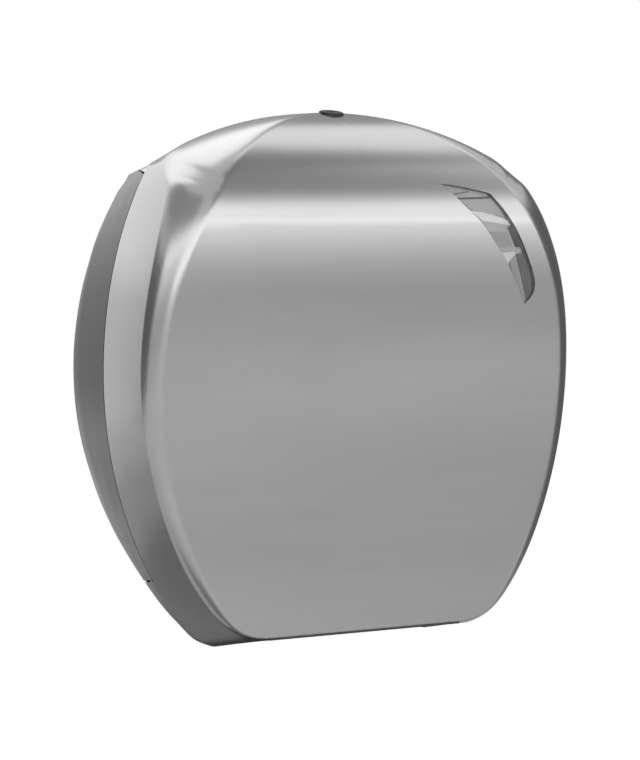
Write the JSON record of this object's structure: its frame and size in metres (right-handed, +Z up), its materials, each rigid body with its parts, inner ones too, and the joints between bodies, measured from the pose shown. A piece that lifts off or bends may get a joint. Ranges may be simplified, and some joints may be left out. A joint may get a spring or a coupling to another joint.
{
  "type": "jumbo toilet roll dispenser",
  "caption": "Wall dispenser for a jumbo toilet roll: hinged satin cover with curved sight window and crown lock, back tray, turning hub and toothed foot outlet.",
  "frame": {"origin": "middle of the four wall screw holes, on the wall plane; the hub's axis passes through it", "axes": "+X to the viewer's right when facing the front, +Y into the wall, +Z up; the front faces -Y"},
  "size_m": [0.313, 0.1438, 0.3571],
  "materials": {
    "shell_finish": "satin titanium-look metallic coat with a fine brushed grain",
    "tray_plastic": "fine moulded texture",
    "black_plastic": "fine moulded texture",
    "smoked_pane": "smoky clear plastic, polished",
    "steel": "plated"
  },
  "bodies": {
    "housing": {"back_tray": "tray_plastic", "side_panel_left": "shell_finish", "side_panel_right": "shell_finish", "spindle_post": "tray_plastic", "spindle_screws": "steel", "friction_washer": "black_plastic", "sleeve_cap": "tray_plastic", "cap_screw": "steel", "hinge_pin_left": "steel", "hinge_pin_right": "steel"},
    "hub": {"core_sleeve": "tray_plastic", "core_adapter": "black_plastic"},
    "cover": {"front_cover": "shell_finish", "view_window": "smoked_pane", "window_clips": "steel", "tear_frame": "black_plastic", "lock_barrel": "black_plastic", "lock_nut": "steel"},
    "lock_core": {"lock_plug": "black_plastic", "lock_cam": "steel", "cam_washer": "steel", "cam_screw": "steel"}
  },
  "joints": [
    {"name": "cover_hinge", "type": "hinge", "parent": "housing", "child": "cover", "pos_m": [0, -0.016, -0.1621], "axis": [1, 0, 0], "range_deg": [0, 90]},
    {"name": "lock_turn", "type": "hinge", "parent": "cover", "child": "lock_core", "pos_m": [0, -0.084, 0.17792], "axis": [0, -0.2118, 0.9773], "range_deg": [0, 90]},
    {"name": "hub_spin", "type": "hinge", "parent": "housing", "child": "hub", "pos_m": [0, -0.06, 0], "axis": [0, 1, 0], "continuous": true}
  ]
}
